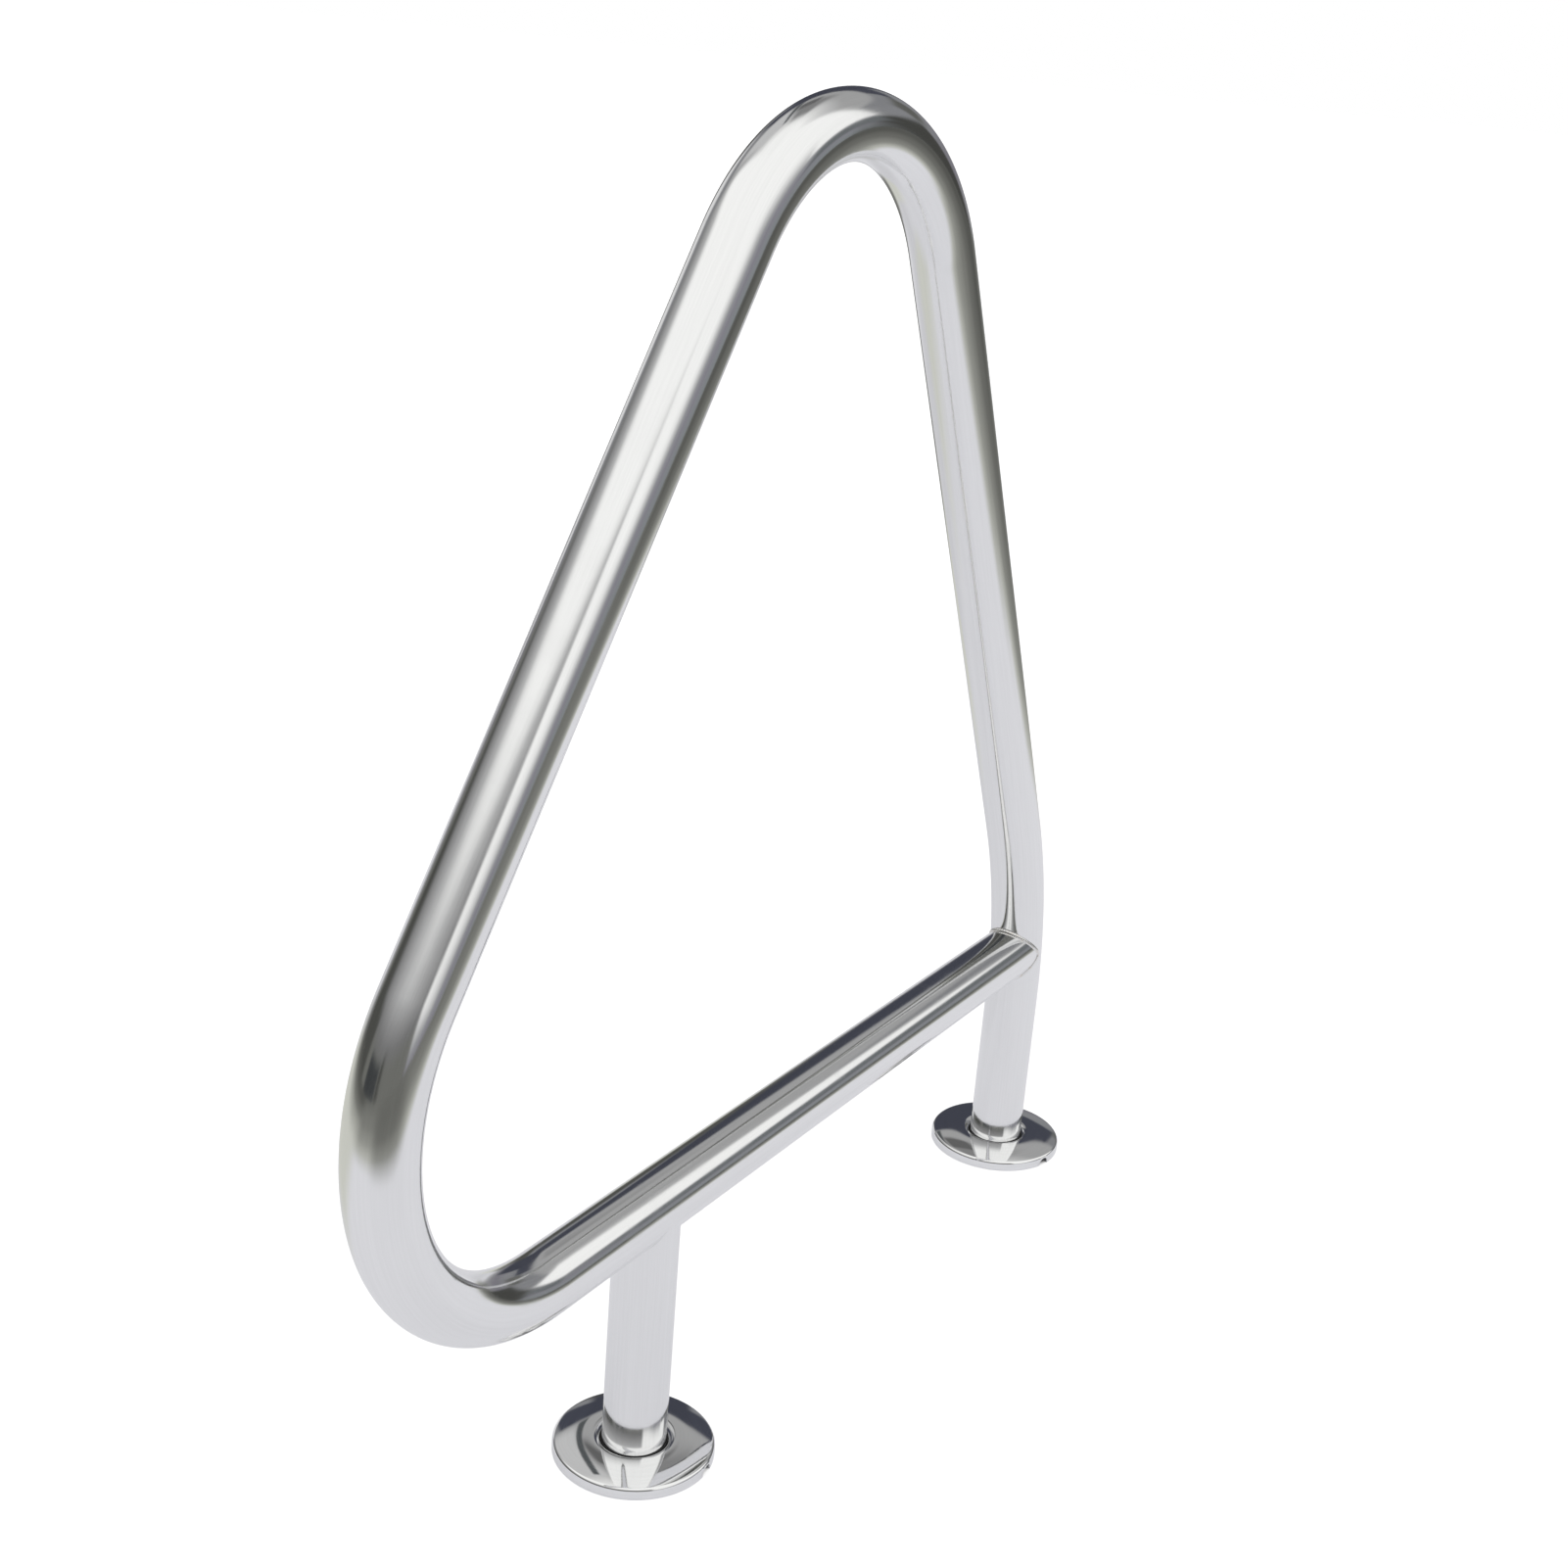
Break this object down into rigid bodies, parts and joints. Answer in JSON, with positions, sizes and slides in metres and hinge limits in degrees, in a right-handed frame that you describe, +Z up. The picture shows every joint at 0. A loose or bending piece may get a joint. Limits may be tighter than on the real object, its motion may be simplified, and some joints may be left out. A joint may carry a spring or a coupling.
{
  "type": "pool handrail",
  "caption": "Bent-tube pool handrail: a closed loop with a long sloping grip on two welded legs, each on a bolted base flange hidden by a loose round cover.",
  "frame": {"origin": "centre of the front leg on the deck, at the underside of its base flange", "axes": "+Z up, +X from the front leg to the rear leg so that the nose bend points to -X, +Y across the rail"},
  "size_m": [0.9706, 0.121, 0.9701],
  "materials": {
    "polished_tube": "mirror-polished stainless steel tube",
    "polished_cover": "mirror-polished stainless steel sheet",
    "weld_metal": "lightly dressed stainless steel weld, rippled, with a trace of heat tint",
    "flange_plate": "satin stainless steel plate, turned",
    "black_rubber": "matt black rubber"
  },
  "bodies": {
    "rail": {"main_rail_tube": "polished_tube", "front_leg_tube": "polished_tube", "lower_rail_weld": "weld_metal", "front_leg_weld": "weld_metal", "front_base_flange": "flange_plate", "rear_base_flange": "flange_plate", "front_flange_weld": "weld_metal", "rear_flange_weld": "weld_metal"},
    "front_grommet": {"front_cover_grommet": "black_rubber"},
    "front_cover": {"front_cover": "polished_cover"},
    "rear_grommet": {"rear_cover_grommet": "black_rubber"},
    "rear_cover": {"rear_cover": "polished_cover"}
  },
  "joints": [
    {"name": "front_cover_lift", "type": "slide", "parent": "rail", "child": "front_grommet", "axis": [0, 0, 1], "range_m": [0, 0.155]},
    {"name": "front_cover_turn", "type": "hinge", "parent": "front_grommet", "child": "front_cover", "pos_m": [0, 0, 0], "axis": [0, 0, 1], "continuous": true},
    {"name": "rear_cover_lift", "type": "slide", "parent": "rail", "child": "rear_grommet", "axis": [0, 0, 1], "range_m": [0, 0.135]},
    {"name": "rear_cover_turn", "type": "hinge", "parent": "rear_grommet", "child": "rear_cover", "pos_m": [0.6, 0, 0], "axis": [0, 0, 1], "continuous": true}
  ]
}
